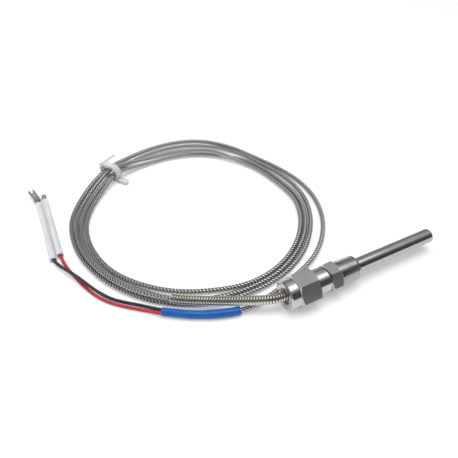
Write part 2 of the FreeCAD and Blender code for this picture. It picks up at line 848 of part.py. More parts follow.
def coil_outline(edge, inset, height):
    # smooth closed curve round the coil: edge 1 is the inner one, edge 2 the outer one
    curve = Part.BSplineCurve()
    points = [coil_point(row[edge] + inset, height, row[0]) for row in COIL_EDGES]
    curve.interpolate(points, PeriodicFlag=True)
    return Part.Wire(curve.toShape())


def coil_plug(edge, inset):
    # everything inside one edge of the coil, with both rims bevelled by the inset
    layer = size("coil_layer")
    bevel = abs(inset)
    levels = ((inset, 0), (0, bevel), (0, layer - bevel), (inset, layer))
    wires = [coil_outline(edge, step, height) for step, height in levels]
    return Part.makeLoft(wires, True, True)


def coil_turn(keys):
    points = [coil_point(radius, height, angle) for angle, radius, height in keys]
    return rod(points, corner_radii(points), size("cable_diameter") / 2)


def tie_placement():
    # local frame: x away from the coil's middle, y along the bundle, z up
    angle = size("tie_angle")
    return FreeCAD.Placement(coil_point(size("tie_radius"), 0, angle), FreeCAD.Rotation(UP, angle))


def tie_level():
    return size("tie_inner_height") / 2 + size("tie_thickness")


def tie_reach():
    # half the straight part of the flat oval that the tie makes
    return (size("tie_inner_width") - size("tie_inner_height")) / 2


def flat_oval(radius, length):
    reach = tie_reach()
    level = tie_level()
    low_corner = FreeCAD.Vector(-reach, -length / 2, level - radius)
    bar = Part.makeBox(2 * reach, length, 2 * radius, low_corner)
    for side in (-reach, reach):
        end = FreeCAD.Vector(side, -length / 2, level)
        bar = bar.fuse(Part.makeCylinder(radius, length, end, SIDEWAYS))
    return bar.removeSplitter()


def make_coil():
    bevel = size("coil_bevel")
    band = coil_plug(2, -bevel).cut(coil_plug(1, bevel))
    passes = band.fuse([coil_turn(FIRST_TURN), coil_turn(LAST_TURN)])
    gap = size("tie_width") + 2 * size("tie_side_gap")
    reach = size("tie_cut_reach")
    cut = Part.makeBox(2 * reach, gap, 2 * reach, FreeCAD.Vector(-reach, -gap / 2, -reach))
    neck = flat_oval(size("tie_inner_height") / 2 - size("tie_gap"), gap + 2 * size("neck_overlap"))
    for tool in (cut, neck):
        tool.Placement = tie_placement()
    return plain_shape("cable_coil", passes.cut(cut).fuse(neck).removeSplitter())


def make_tie():
    inner_r = size("tie_inner_height") / 2
    thickness = size("tie_thickness")
    width = size("tie_width")
    outer_r = inner_r + thickness
    reach = tie_reach()
    level = tie_level()
    loop = flat_oval(outer_r, width).cut(flat_oval(inner_r, width))
    head_length = size("tie_head_length")
    head_width = size("tie_head_width")
    head_x = size("tie_head_bite") - reach - inner_r - head_length
    head_corner = FreeCAD.Vector(head_x, -head_width / 2, 0)
    head = Part.makeBox(head_length, head_width, size("tie_head_height"), head_corner)
    end_edges = [edge for edge in head.Edges if edge.BoundBox.XMax < head_x + NEAR]
    corners = [edge for edge in end_edges if edge.BoundBox.YLength < NEAR]
    head = head.makeFillet(size("tie_head_rounding"), corners)
    end_length = size("tie_end_length")
    end_level = level + outer_r - size("tie_end_bite")
    end_corner = FreeCAD.Vector(reach - width / 2, -width / 2 - end_length, end_level)
    free_end = Part.makeBox(width, end_length + width, thickness, end_corner)
    free_end.rotate(FreeCAD.Vector(reach, 0, level), SIDEWAYS, size("tie_end_tilt"))
    shape = loop.fuse([head, free_end]).removeSplitter()
    return plain_shape("cable_tie", shape, tie_placement())


nodes = [
    make_sheath(),
    make_insulator(),
    make_thermoelement("positive_thermoelement", "+"),
    make_thermoelement("negative_thermoelement", "-"),
    make_junction(),
    make_seal(),
    make_fitting_body(),
    make_nut(),
    make_front_ferrule(),
    make_back_ferrule(),
    make_coil(),
    make_tie(),
    make_lead("black", BLACK_POINTS),
    make_lead("red", RED_POINTS),
    make_sleeve("black"),
    make_sleeve("red"),
    make_receptacle_terminal("black"),
    make_tab_terminal("red"),
]
nodes += make_lead_in()
nodes += make_tail()

DOC.recompute()
for feature in DOC.Objects:
    if "Invalid" in feature.State or "Error" in feature.State:
        raise RuntimeError("%s did not build" % feature.Label)
for node in nodes:
    shape = node.Shape
    if shape.isNull() or not shape.isValid() or not shape.Solids:
        raise RuntimeError("%s has no valid solid" % node.Label)
    shape.exportStep("parts/%s.step" % node.Label)
    box = shape.BoundBox
    print("%s: solids %d, volume %.1f, x %.2f..%.2f, y %.2f..%.2f, z %.2f..%.2f"
          % (node.Label, len(shape.Solids), shape.Volume,
             box.XMin, box.XMax, box.YMin, box.YMax, box.ZMin, box.ZMax))
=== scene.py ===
import math

import bmesh
import bpy
import numpy as np
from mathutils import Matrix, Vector


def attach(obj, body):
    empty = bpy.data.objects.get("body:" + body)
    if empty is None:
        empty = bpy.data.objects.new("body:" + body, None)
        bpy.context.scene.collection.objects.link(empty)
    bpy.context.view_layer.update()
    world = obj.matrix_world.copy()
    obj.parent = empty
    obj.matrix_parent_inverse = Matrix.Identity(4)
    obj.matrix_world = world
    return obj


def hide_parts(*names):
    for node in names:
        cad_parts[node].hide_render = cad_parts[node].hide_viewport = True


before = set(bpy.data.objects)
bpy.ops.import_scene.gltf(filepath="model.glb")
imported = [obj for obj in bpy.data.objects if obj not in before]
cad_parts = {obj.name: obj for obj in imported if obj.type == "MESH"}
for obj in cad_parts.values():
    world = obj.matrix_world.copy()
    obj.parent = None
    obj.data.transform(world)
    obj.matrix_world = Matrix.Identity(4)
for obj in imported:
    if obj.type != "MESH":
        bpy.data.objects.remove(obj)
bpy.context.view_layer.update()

MM = 0.001
# height of the axis that probe and fitting share
AXIS_Z = 6.5 * MM


def metres(points):
    return [tuple(MM * value for value in point) for point in points]


# Middle lines of the cords: the same points as the solids have.
CABLE_FRONT = metres([(-32.4, 0.0, 6.5)])
SPRING_POINTS = metres([
    (-40.6, 0.0, 6.5), (-47.2, 3.3, 5.9), (-53.3, 6.9, 5.3),
    (-60.2, 10.8, 4.95), (-67.0, 14.8, 4.8), (-73.6, 18.8, 4.7),
])
COIL_ENTRY_POINTS = metres([(-79.6, 23.8, 4.4), (-84.2, 28.4, 4.05), (-88.1, 33.2, 3.75)])
TAIL_POINTS = metres([
    (10.5, 85.6, 1.25), (14.4, 72.1, 1.25), (15.2, 59.5, 1.25), (12.8, 47.0, 1.25),
    (7.4, 35.0, 1.25), (-0.9, 24.5, 1.25), (-11.0, 16.5, 1.25), (-21.0, 12.2, 1.25),
    (-29.5, 9.5, 1.25), (-37.5, 7.2, 1.25), (-45.8, 5.15, 1.55), (-51.6, 4.75, 1.85),
])
SLEEVED_TAIL_POINTS = metres([(-57.2, 5.85, 1.85), (-62.2, 7.6, 1.85), (-67.0, 9.6, 1.85)])
SHRINK_END_POINTS = metres([(-71.9, 12.2, 1.85), (-76.9, 15.5, 1.85), (-81.8, 19.2, 1.85)])
BLACK_POINTS = metres([
    (-68.42, 11.15, 1.85), (-71.5, 12.8, 1.85), (-76.4, 16.1, 1.85), (-81.3, 19.8, 1.75),
    (-84.9, 23.9, 1.0), (-88.4, 27.4, 0.75), (-92.8, 31.2, 0.75), (-97.3, 35.4, 1.0),
    (-101.2, 40.8, 2.1), (-104.1, 46.2, 3.3), (-106.6, 52.4, 3.3), (-109.4, 58.8, 2.3),
    (-111.5, 63.6, 1.7),
])
RED_POINTS = metres([
    (-69.15, 9.9, 1.85), (-72.3, 11.6, 1.85), (-77.4, 14.9, 1.85), (-82.3, 18.6, 1.75),
    (-85.8, 22.3, 1.0), (-89.6, 25.7, 0.75), (-94.4, 29.9, 0.75), (-99.2, 35.0, 0.75),
    (-102.6, 40.9, 0.75), (-104.8, 46.8, 0.75), (-106.4, 52.2, 0.75), (-107.9, 57.8, 0.75),
    (-109.0, 63.4, 1.1),
])
BLACK_MOUTH = Vector((-112.8, 67.8, 1.5)) * MM
RED_MOUTH = Vector((-109.5, 69.2, 1.5)) * MM
SLEEVE_TURN = math.radians(-3.4)
LEAD_IN_SLEEVE = 37.0 * MM

# Turns of the coil, clockwise from above: angle round its middle in degrees, then distance from it
# and height in millimetres. A point without a height lies on the floor.
COIL_CENTRE = Vector((-43.7, 72.1, 0.0)) * MM
FLOOR_LEVEL = 1.25
COIL_PASSES = (
    (
        (221, 59.0, 3.75), (205, 57.6, 3.3), (185, 56.7, 2.85), (172, 56.1, 2.0),
        (160, 55.7, 1.4), (148, 54.7, 1.6), (138, 53.9, 2.6), (130, 53.3, 4.0),
        (126, 53.2, 4.7), (121, 53.4, 5.2), (116, 52.9, 5.0), (108, 51.2, 4.4),
        (99, 49.5, 3.7), (90, 49.1, 3.25), (80, 49.2, 3.3), (70, 49.2, 3.4),
        (60, 48.8, 3.6), (53, 48.5, 3.6), (45, 47.5, 3.4), (40, 47.0, 2.7), (34, 46.9, 1.8),
        (28, 47.0), (18, 47.0), (8, 46.9), (0, 47.4), (-10, 48.9), (-20, 50.8),
        (-45, 52.9), (-60, 54.2), (-75, 55.4), (-90, 55.7),
    ),
    (
        (252, 54.3), (237, 54.0), (222, 53.6), (205, 53.5), (190, 52.7), (175, 52.0),
        (162, 51.0), (150, 49.7), (138, 48.8, 2.0), (126, 49.2, 3.4), (121, 49.4, 3.9),
        (116, 49.2, 3.5), (106, 48.2, 2.2), (94, 47.7), (80, 47.9), (65, 48.2), (53, 48.1),
        (45, 48.4), (38, 49.2), (30, 49.7), (20, 49.5), (10, 49.4), (0, 49.9), (-10, 51.4),
        (-20, 53.2), (-45, 55.2), (-60, 56.4), (-75, 57.6), (-90, 58.0),
    ),
    (
        (252, 58.5), (237, 58.1), (222, 56.5), (205, 55.9), (190, 55.15), (175, 54.45),
        (162, 53.4), (150, 52.3), (138, 51.5, 1.6), (126, 51.6, 2.4), (121, 51.7, 2.5),
        (116, 52.3, 2.4), (106, 54.1, 1.6), (94, 55.9), (82, 57.0), (70, 57.7), (60, 57.2),
        (50, 56.2), (40, 55.0), (30, 53.5), (20, 52.5), (10, 53.0), (0, 53.9), (-10, 55.1),
        (-20, 56.1), (-45, 57.6), (-60, 58.9), (-75, 59.9), (-90, 60.3),
    ),
    (
        (252, 60.9), (237, 60.6), (222, 59.7), (205, 58.9), (190, 58.6), (175, 58.4),
        (162, 58.4), (150, 57.4, 1.35), (140, 56.7, 2.0), (130, 56.1, 3.4), (121, 56.0, 4.3),
        (113, 56.0, 3.9), (104, 56.3, 3.5), (95, 57.1, 3.4), (85, 57.9, 3.5), (74, 58.5, 3.7),
        (62, 58.8, 3.5), (50, 58.0, 2.8), (40, 57.0, 1.9), (30, 55.7), (22, 55.2), (14, 55.85),
    ),
)
# degrees from one point of the cable's route to the next
COIL_STEP = 6.0
SPLINE_STEPS = 8

LEAD_D = 1.4 * MM


def hermite(angle, keys):
    # smooth curve through the keys, which are sorted by falling angle
    last = len(keys) - 1
    i = 0
    while i < last - 1 and angle < keys[i + 1][0]:
        i += 1
    span = keys[i + 1][0] - keys[i][0]
    t = (angle - keys[i][0]) / span

    def slope(j, column):
        before, after = max(j - 1, 0), min(j + 1, last)
        return (keys[after][column] - keys[before][column]) / (keys[after][0] - keys[before][0])

    found = []
    for column in (1, 2):
        a, b = keys[i][column], keys[i + 1][column]
        rise_a, rise_b = slope(i, column) * span, slope(i + 1, column) * span
        found.append(
            a * (1 + 2 * t) * (1 - t) ** 2 + rise_a * t * (1 - t) ** 2
            + b * t * t * (3 - 2 * t) - rise_b * t * t * (1 - t)
        )
    return found


def coil_points():
    keys = []
    for turn, passing in enumerate(COIL_PASSES):
        for angle, radius, *height in passing:
            keys.append((angle - 360.0 * turn, radius, height[0] if height else FLOOR_LEVEL))
    first, last = keys[0][0], keys[-1][0]
    count = round((first - last) / COIL_STEP)
    points = []
    for i in range(1, count):
        angle = first + (last - first) * i / count
        radius, height = hermite(angle, keys)
        turn = math.radians(angle)
        offset = Vector((radius * math.cos(turn), radius * math.sin(turn), height)) * MM
        points.append(tuple(COIL_CENTRE + offset))
    return points


def spline_points(points):
    # points along a smooth spline that has the route's points as its control points
    curve = bpy.data.curves.new("route", "CURVE")
    curve.dimensions = "3D"
    curve.resolution_u = SPLINE_STEPS
    spline = curve.splines.new("NURBS")
    spline.points.add(len(points) - 1)
    for target, point in zip(spline.points, points):
        target.co = (*point, 1.0)
    spline.order_u = 3
    spline.use_endpoint_u = True
    holder = bpy.data.objects.new("route", curve)
    mesh = bpy.data.meshes.new_from_object(holder)
    found = np.array([vertex.co[:] for vertex in mesh.vertices])
    bpy.data.objects.remove(holder)
    bpy.data.curves.remove(curve)
    bpy.data.meshes.remove(mesh)
    return found


class Line:
    """A cord's middle line, with a frame along it that doesn't twist."""

    def __init__(self, points):
        self.points = points
        steps = np.linalg.norm(np.diff(points, axis=0), axis=1)
        self.along = np.concatenate([[0.0], np.cumsum(steps)])
        self.length = float(self.along[-1])
        tangents = np.gradient(points, self.along, axis=0)
        tangents /= np.linalg.norm(tangents, axis=1)[:, None]
        side = np.cross(tangents[0], (0.0, 0.0, 1.0))
        sides = []
        for tangent in tangents:
            side = side - tangent * np.dot(side, tangent)
            side = side / np.linalg.norm(side)
            sides.append(side)
        self.tangents = tangents
        self.sides = np.array(sides)

    def _read(self, table, distance):
        return np.stack([np.interp(distance, self.along, table[:, i]) for i in range(3)], axis=-1)

    def place(self, distance):
        return self._read(self.points, distance)

    def around(self, distance, angle, radius):
        # points at an angle and a distance from the line
        tangent = self._read(self.tangents, distance)
        tangent /= np.linalg.norm(tangent, axis=-1)[..., None]
        side = self._read(self.sides, distance)
        side -= tangent * np.sum(side * tangent, axis=-1)[..., None]
        side /= np.linalg.norm(side, axis=-1)[..., None]
        up = np.cross(side, tangent)
        out = side * np.cos(angle)[..., None] + up * np.sin(angle)[..., None]
        return self.place(distance) + out * np.asarray(radius)[..., None]

    def nearest(self, place):
        gaps = np.linalg.norm(self.points - np.array(place), axis=1)
        return float(self.along[int(np.argmin(gaps))])


def new_piece(name, vertices, faces, body, spots=None):
    # spots are places on the surface, one for each corner of each face
    mesh = bpy.data.meshes.new(name)
    mesh.from_pydata([tuple(v) for v in vertices], [], faces)
    mesh.polygons.foreach_set("use_smooth", [True] * len(mesh.polygons))
    if spots is not None:
        layer = mesh.uv_layers.new(name="spots")
        layer.data.foreach_set("uv", np.asarray(spots, dtype=np.float32).ravel())
    mesh.update()
    piece = bpy.data.objects.new(name, mesh)
    bpy.context.scene.collection.objects.link(piece)
    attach(piece, body)
    return piece


def even(start, end, step):
    return np.linspace(start, end, max(2, round((end - start) / step) + 1))


def tube(name, line, distance, radius, sides, body):
    # closed round tube whose radius is given at each distance along the line
    rows = len(distance)
    angle = np.linspace(0, 2 * math.pi, sides, endpoint=False)
    grid_d, grid_a = np.meshgrid(distance, angle, indexing="ij")
    radius = np.broadcast_to(np.reshape(radius, (-1, 1)), grid_d.shape)
    vertices = line.around(grid_d, grid_a, radius).reshape(-1, 3)
    across = 2 * math.pi * float(np.max(radius)) / MM / sides
    faces, spots = [], []
    for i in range(rows - 1):
        low, high = distance[i] / MM, distance[i + 1] / MM
        for j in range(sides):
            k = (j + 1) % sides
            a, b = i * sides, (i + 1) * sides
            faces.append((a + k, a + j, b + j, b + k))
            left, right = j * across, (j + 1) * across
            spots += [(low, right), (low, left), (high, left), (high, right)]
    faces.append(tuple(range(sides)))
    faces.append(tuple(range(rows * sides - 1, (rows - 1) * sides - 1, -1)))
    spots += [(0.0, 0.0)] * (2 * sides)
    return new_piece(name, vertices, faces, body, spots)


# Wound wire: points in a turn and round the wire, and how full its flat sides are (1 is an ellipse).
HELIX_PER_TURN = 18
WIRE_SIDES = 12
WIRE_FULLNESS = 0.7


def helix(name, line, start, end, pitch, radius, wire, body):
    # flat-sided wire, given by its width and thickness, wound about a line
    turns = (end - start) / pitch
    phase = np.linspace(0, 2 * math.pi * turns, round(turns * HELIX_PER_TURN) + 1)
    distance = start + phase / (2 * math.pi) * pitch
    rows = len(phase)
    centre = line.around(distance, phase, np.full(rows, radius))
    along = np.gradient(centre, axis=0)
    along /= np.linalg.norm(along, axis=1)[:, None]
    out = centre - line.place(distance)
    out -= along * np.sum(out * along, axis=1)[:, None]
    out /= np.linalg.norm(out, axis=1)[:, None]
    across = np.cross(along, out)
    ring = np.linspace(0, 2 * math.pi, WIRE_SIDES, endpoint=False)
    width, thick = wire
    rise = np.sign(np.cos(ring)) * np.abs(np.cos(ring)) ** WIRE_FULLNESS * thick / 2
    spread = np.sin(ring) * width / 2
    offset = out[:, None, :] * rise[:, None] + across[:, None, :] * spread[:, None]
    vertices = (centre[:, None, :] + offset).reshape(-1, 3)
    faces = []
    for i in range(rows - 1):
        a, b = i * WIRE_SIDES, (i + 1) * WIRE_SIDES
        for j in range(WIRE_SIDES):
            k = (j + 1) % WIRE_SIDES
            faces.append((a + j, a + k, b + k, b + j))
    faces.append(tuple(range(WIRE_SIDES - 1, -1, -1)))
    faces.append(tuple(range((rows - 1) * WIRE_SIDES, rows * WIRE_SIDES)))
    return new_piece(name, vertices, faces, body)


# Braid: bunches of wire, as many one way round as the other, two over and two under.
BRAID_BUNCHES = 4
BRAID_OVER = 2
BRAID_PITCH = 5.8 * MM
BRAID_WIDTH = 0.85 * MM
BRAID_MIDDLE_R = 0.99 * MM
BRAID_LIFT = 0.1 * MM
# across a bunch: share of half its width, and height of its top there
BUNCH_PROFILE = ((-1.0, 0.0), (-0.6, 0.085 * MM), (0.0, 0.12 * MM), (0.6, 0.085 * MM), (1.0, 0.0))


def braid(name, line, way, body):
    # all bunches that wind one way, a step for each bunch that they cross
    step = BRAID_PITCH / (2 * BRAID_BUNCHES)
    count = int(line.length / step) + 1
    index = np.arange(count)
    distance = index * step
    lengths = distance / MM
    slant = math.atan2(2 * math.pi * BRAID_MIDDLE_R, BRAID_PITCH)
    shift = BRAID_WIDTH / 2 * math.sin(slant)
    swing = BRAID_WIDTH / 2 * math.cos(slant) / BRAID_MIDDLE_R
    cycle = 2 * BRAID_OVER
    points = len(BUNCH_PROFILE)
    vertices, faces, spots = [], [], []
    for bunch in range(BRAID_BUNCHES):
        if way > 0:
            over = (index + 2 * bunch) % cycle < BRAID_OVER
        else:
            over = (2 * bunch - index) % cycle >= BRAID_OVER
        level = BRAID_MIDDLE_R + np.where(over, BRAID_LIFT, -BRAID_LIFT)
        angle = way * 2 * math.pi * distance / BRAID_PITCH + 2 * math.pi * bunch / BRAID_BUNCHES
        rows = []
        for share, height in BUNCH_PROFILE:
            place = np.clip(distance + share * shift, 0.0, line.length)
            rows.append(line.around(place, angle - way * share * swing, level + height))
        base = len(vertices)
        vertices += list(np.stack(rows, axis=1).reshape(-1, 3))
        for i in range(count - 1):
            a = base + points * i
            b = a + points
            low, high = lengths[i], lengths[i + 1]
            for j in range(points):
                k = (j + 1) % points
                quad = (a + j, a + k, b + k, b + j)
                left, right = j / (points - 1), k / (points - 1)
                corners = [(low, left), (low, right), (high, right), (high, left)]
                faces.append(quad if way < 0 else quad[::-1])
                spots += corners if way < 0 else corners[::-1]
        tip = base + points * (count - 1)
        first = tuple(range(base + points - 1, base - 1, -1))
        last = tuple(range(tip, tip + points))
        faces += [first, last] if way < 0 else [first[::-1], last[::-1]]
        spots += [(0.0, 0.0)] * (2 * points)
    return new_piece(name, vertices, faces, body, spots)


# Camera at the photograph's viewing angle.
FRAME_PIXELS = 458
FOCAL_PIXELS = 480.0
SENSOR = 36.0
CAMERA_PLACE = Vector((-114.4, -98.1, 150.0)) * MM
CAMERA_LOOKS_DOWN = 41.5
CAMERA_TURN = -27.97
CAMERA_NEAR = 0.01
camera_data = bpy.data.cameras.new("camera")
camera_data.sensor_width = SENSOR
camera_data.lens = SENSOR * FOCAL_PIXELS / FRAME_PIXELS
camera_data.clip_start = CAMERA_NEAR
camera = bpy.data.objects.new("camera", camera_data)
camera.location = CAMERA_PLACE
camera.rotation_euler = (math.radians(90.0 - CAMERA_LOOKS_DOWN), 0.0, math.radians(CAMERA_TURN))
bpy.context.scene.collection.objects.link(camera)
bpy.context.scene.camera = camera


def colour_of(red, green, blue):
    # colour as seen on a screen, from 0 to 255, in linear light
    def linear(level):
        level /= 255.0
        return level / 12.92 if level <= 0.04045 else ((level + 0.055) / 1.055) ** 2.4

    return linear(red), linear(green), linear(blue), 1.0


class Finish:
    """A procedural material: one shader, and patterns that vary its colour, gloss and relief."""

    def __init__(self, name, **sockets):
        self.material = bpy.data.materials.new(name)
        self.material.use_nodes = True
        self.tree = self.material.node_tree
        self.shader = self.tree.nodes["Principled BSDF"]
        for socket, setting in sockets.items():
            self.shader.inputs[socket.replace("_", " ")].default_value = setting

    def node(self, kind, **settings):
        made = self.tree.nodes.new("ShaderNode" + kind)
        for key, setting in settings.items():
            setattr(made, key, setting)
        return made

    def link(self, out, into):
        self.tree.links.new(out, into)

    def place(self, scale, output="Object", turn=0.0):
        # position on the piece, stretched by a scale for each direction
        spot = self.node("TexCoord")
        mapping = self.node("Mapping")
        mapping.inputs["Scale"].default_value = scale
        mapping.inputs["Rotation"].default_value = (0.0, 0.0, turn)
        self.link(spot.outputs[output], mapping.inputs["Vector"])
        return mapping.outputs["Vector"]

    def noise(self, scale, detail):
        # one scale for all directions, or one for each
        made = self.node("TexNoise")
        made.inputs["Scale"].default_value = 1.0
        made.inputs["Detail"].default_value = detail
        scales = scale if isinstance(scale, tuple) else (scale, scale, scale)
        self.link(self.place(scales), made.inputs["Vector"])
        return made.outputs["Fac"]

    def stripes(self, scale, turn):
        made = self.node("TexWave", wave_type="BANDS", bands_direction="X")
        made.inputs["Scale"].default_value = 1.0
        self.link(self.place((scale, scale, 1.0), "UV", turn), made.inputs["Vector"])
        return made.outputs["Fac"]

    def across(self):
        # from 0 to 1 over the second direction of the spots on the piece
        made = self.node("TexGradient", gradient_type="LINEAR")
        self.link(self.place((1.0, 1.0, 1.0), "UV", -math.pi / 2), made.inputs["Vector"])
        return made.outputs["Fac"]

    def product(self, first, second):
        made = self.node("Math", operation="MULTIPLY")
        self.link(first, made.inputs[0])
        self.link(second, made.inputs[1])
        return made.outputs["Value"]

    def colours(self, pattern, *stops):
        made = self.node("ValToRGB")
        elements = made.color_ramp.elements
        while len(elements) < len(stops):
            elements.new(0.5)
        for element, (place, colour) in zip(elements, stops):
            element.position = place
            element.color = colour
        self.link(pattern, made.inputs["Fac"])
        self.link(made.outputs["Color"], self.shader.inputs["Base Color"])

    def gloss(self, pattern, low, high):
        # noise stays mostly between a quarter and three quarters
        made = self.node("MapRange")
        made.inputs["From Min"].default_value = 0.25
        made.inputs["From Max"].default_value = 0.75
        made.inputs["To Min"].default_value = low
        made.inputs["To Max"].default_value = high
        self.link(pattern, made.inputs["Value"])
        self.link(made.outputs["Result"], self.shader.inputs["Roughness"])

    def bump(self, pattern, depth):
        made = self.node("Bump")
        made.inputs["Strength"].default_value = 1.0
        made.inputs["Distance"].default_value = depth
        self.link(pattern, made.inputs["Height"])
        self.link(made.outputs["Normal"], self.shader.inputs["Normal"])


def dress(piece, finish):
    piece.data.materials.clear()
    piece.data.materials.append(finish.material)


def dress_nodes(finish, *names):
    for name in names:
        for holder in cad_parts[name].material_slots:
            holder.material = finish.material


# where in a noise pattern the dark colour ends and the light one starts
DARK_TO, LIGHT_FROM = 0.3, 0.7


def steel(name, dark, light, gloss, grain, depth):
    made = Finish(name, Metallic=1.0)
    lines = made.noise(grain, 4.0)
    made.colours(made.noise(160.0, 2.0), (DARK_TO, dark), (LIGHT_FROM, light))
    made.gloss(lines, *gloss)
    made.bump(lines, depth)
    return made


def clouded(name, dark, light, scale, detail, depth, **sockets):
    made = Finish(name, **sockets)
    clouds = made.noise(scale, detail)
    made.colours(clouds, (DARK_TO, dark), (LIGHT_FROM, light))
    made.bump(clouds, depth)
    return made


WEAVE_SCALE = 0.42
WEAVE_TURN = math.radians(40)


def woven(name, dark, plain, light):
    # fibre sleeving: two crossing sets of fine threads
    made = Finish(name, Roughness=0.6)
    weave = made.product(made.stripes(WEAVE_SCALE, WEAVE_TURN), made.stripes(WEAVE_SCALE, -WEAVE_TURN))
    made.colours(weave, (0.05, dark), (0.35, plain), (0.85, light))
    made.bump(weave, 0.06 * MM)
    return made


sheath_steel = steel(
    "drawn_steel", colour_of(176, 176, 176), colour_of(186, 185, 182), gloss=(0.1, 0.17),
    grain=(60.0, 9000.0, 9000.0), depth=0.0008 * MM)
fitting_steel = steel(
    "machined_steel", colour_of(188, 189, 188), colour_of(198, 197, 194), gloss=(0.12, 0.22),
    grain=(4000.0, 1500.0, 4000.0), depth=0.0008 * MM)
spring_steel = steel(
    "spring_wire", colour_of(198, 193, 184), colour_of(210, 205, 196), gloss=(0.14, 0.22),
    grain=3000.0, depth=0.0005 * MM)
terminal_metal = steel(
    "tinned_metal", colour_of(214, 216, 218), colour_of(234, 235, 236), gloss=(0.16, 0.26),
    grain=1500.0, depth=0.001 * MM)
wire_alloy = steel(
    "bare_alloy", colour_of(150, 150, 146), colour_of(176, 174, 168), gloss=(0.3, 0.4),
    grain=(900.0, 6000.0, 6000.0), depth=0.002 * MM)

# each bunch of the braid has painted shade towards its edges, where it goes under its neighbours, and
# its plain light metal colour in the middle
braid_wire = Finish("braid_wire", Metallic=1.0)
painted_edge_shade = colour_of(52, 52, 52)
braid_wire.colours(
    braid_wire.across(), (0.0, painted_edge_shade), (0.4, colour_of(232, 232, 230)),
    (0.6, colour_of(240, 240, 239)), (1.0, painted_edge_shade))
braid_wire.gloss(braid_wire.noise(900.0, 3.0), 0.18, 0.26)

black_fibre = woven(
    "black_fibre", colour_of(14, 15, 18), colour_of(30, 31, 35), colour_of(120, 122, 126))
red_fibre = woven(
    "red_fibre", colour_of(150, 18, 34), colour_of(204, 34, 52), colour_of(236, 120, 130))

shrink_film = Finish("shrink_film", Roughness=0.36)
film_clouds = shrink_film.noise(220.0, 3.0)
shrink_film.colours(film_clouds, (0.25, colour_of(14, 84, 160)), (0.75, colour_of(24, 102, 178)))
shrink_film.gloss(film_clouds, 0.3, 0.45)
shrink_film.bump(shrink_film.noise(1800.0, 2.0), 0.02 * MM)

core_glass = clouded(
    "cable_core_glass", colour_of(14, 14, 15), colour_of(36, 36, 38), scale=2500.0, detail=2.0,
    depth=0.03 * MM, Roughness=0.7)
clear_sleeve = clouded(
    "clear_sleeve", colour_of(244, 247, 251), colour_of(252, 253, 254), scale=160.0, detail=3.0,
    depth=0.1 * MM, Roughness=0.35, Transmission_Weight=0.45, IOR=1.35)
nylon = clouded(
    "nylon", colour_of(222, 226, 226), colour_of(242, 244, 243), scale=300.0, detail=2.0,
    depth=0.03 * MM, Roughness=0.32, Transmission_Weight=0.35, IOR=1.45)
ceramic = clouded(
    "ceramic", colour_of(222, 216, 202), colour_of(238, 234, 224), scale=1500.0, detail=2.0,
    depth=0.01 * MM, Roughness=0.5)
cement = clouded(
    "cement", colour_of(120, 114, 104), colour_of(164, 158, 148), scale=1200.0, detail=4.0,
    depth=0.05 * MM, Roughness=0.8)

dress_nodes(sheath_steel, "probe_sheath")
dress_nodes(fitting_steel, "compression_nut", "front_ferrule", "back_ferrule")
dress_nodes(wire_alloy, "measuring_junction", "positive_thermoelement", "negative_thermoelement")
dress_nodes(ceramic, "ceramic_insulator")
dress_nodes(cement, "end_seal")
dress_nodes(nylon, "cable_tie")
dress_nodes(terminal_metal, "black_terminal", "red_terminal")
dress_nodes(clear_sleeve, "black_terminal_sleeve", "red_terminal_sleeve")

# Cable: a dark core inside the braid
CORE_R = 0.87 * MM
CORE_STEP = 1.0 * MM
CORE_SIDES = 12
cable_route = (
    CABLE_FRONT + SPRING_POINTS + COIL_ENTRY_POINTS + coil_points() + TAIL_POINTS
    + SLEEVED_TAIL_POINTS
)
cable_line = Line(spline_points(cable_route))
core_rows = even(0.0, cable_line.length, CORE_STEP)
cable = tube("cable_core", cable_line, core_rows, CORE_R, CORE_SIDES, "probe")
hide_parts("cable_lead_in", "cable_coil", "cable_tail")
dress(cable, core_glass)

for name, way in (("braid_right", 1), ("braid_left", -1)):
    made = braid(name, cable_line, way, "probe")
    dress(made, braid_wire)

# Spring over the cable behind the nut
SPRING_D = 4.0 * MM
SPRING_WIRE = (1.0 * MM, 0.6 * MM)
SPRING_PITCH = 1.07 * MM
SPRING_FRONT = (-33.2 * MM, 0.0, AXIS_Z)
SPRING_BACK = (-76.6 * MM, 21.3 * MM, 4.55 * MM)
spring = helix(
    "spring_coils", cable_line, cable_line.nearest(SPRING_FRONT), cable_line.nearest(SPRING_BACK),
    SPRING_PITCH, (SPRING_D - SPRING_WIRE[1]) / 2, SPRING_WIRE, "probe")
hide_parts("strain_relief_spring")
dress(spring, spring_steel)

# Heat-shrink sleeve over the cable's end and the start of the leads
SHRINK_R = 1.8 * MM
SHRINK_LEADS_R = 1.7 * MM
SHRINK_WALL = 0.3 * MM
SHRINK_FRONT = (-54.4 * MM, 5.3 * MM, 1.85 * MM)
# length over which the sleeve narrows past the cable's end, and how its ends are drawn in
SHRINK_NARROWS = 3.0 * MM
SHRINK_LIP = 0.6 * MM
SHRINK_LIP_DEPTH = 0.08 * MM
SHRINK_STEP = 0.5 * MM
SHRINK_SIDES = 28


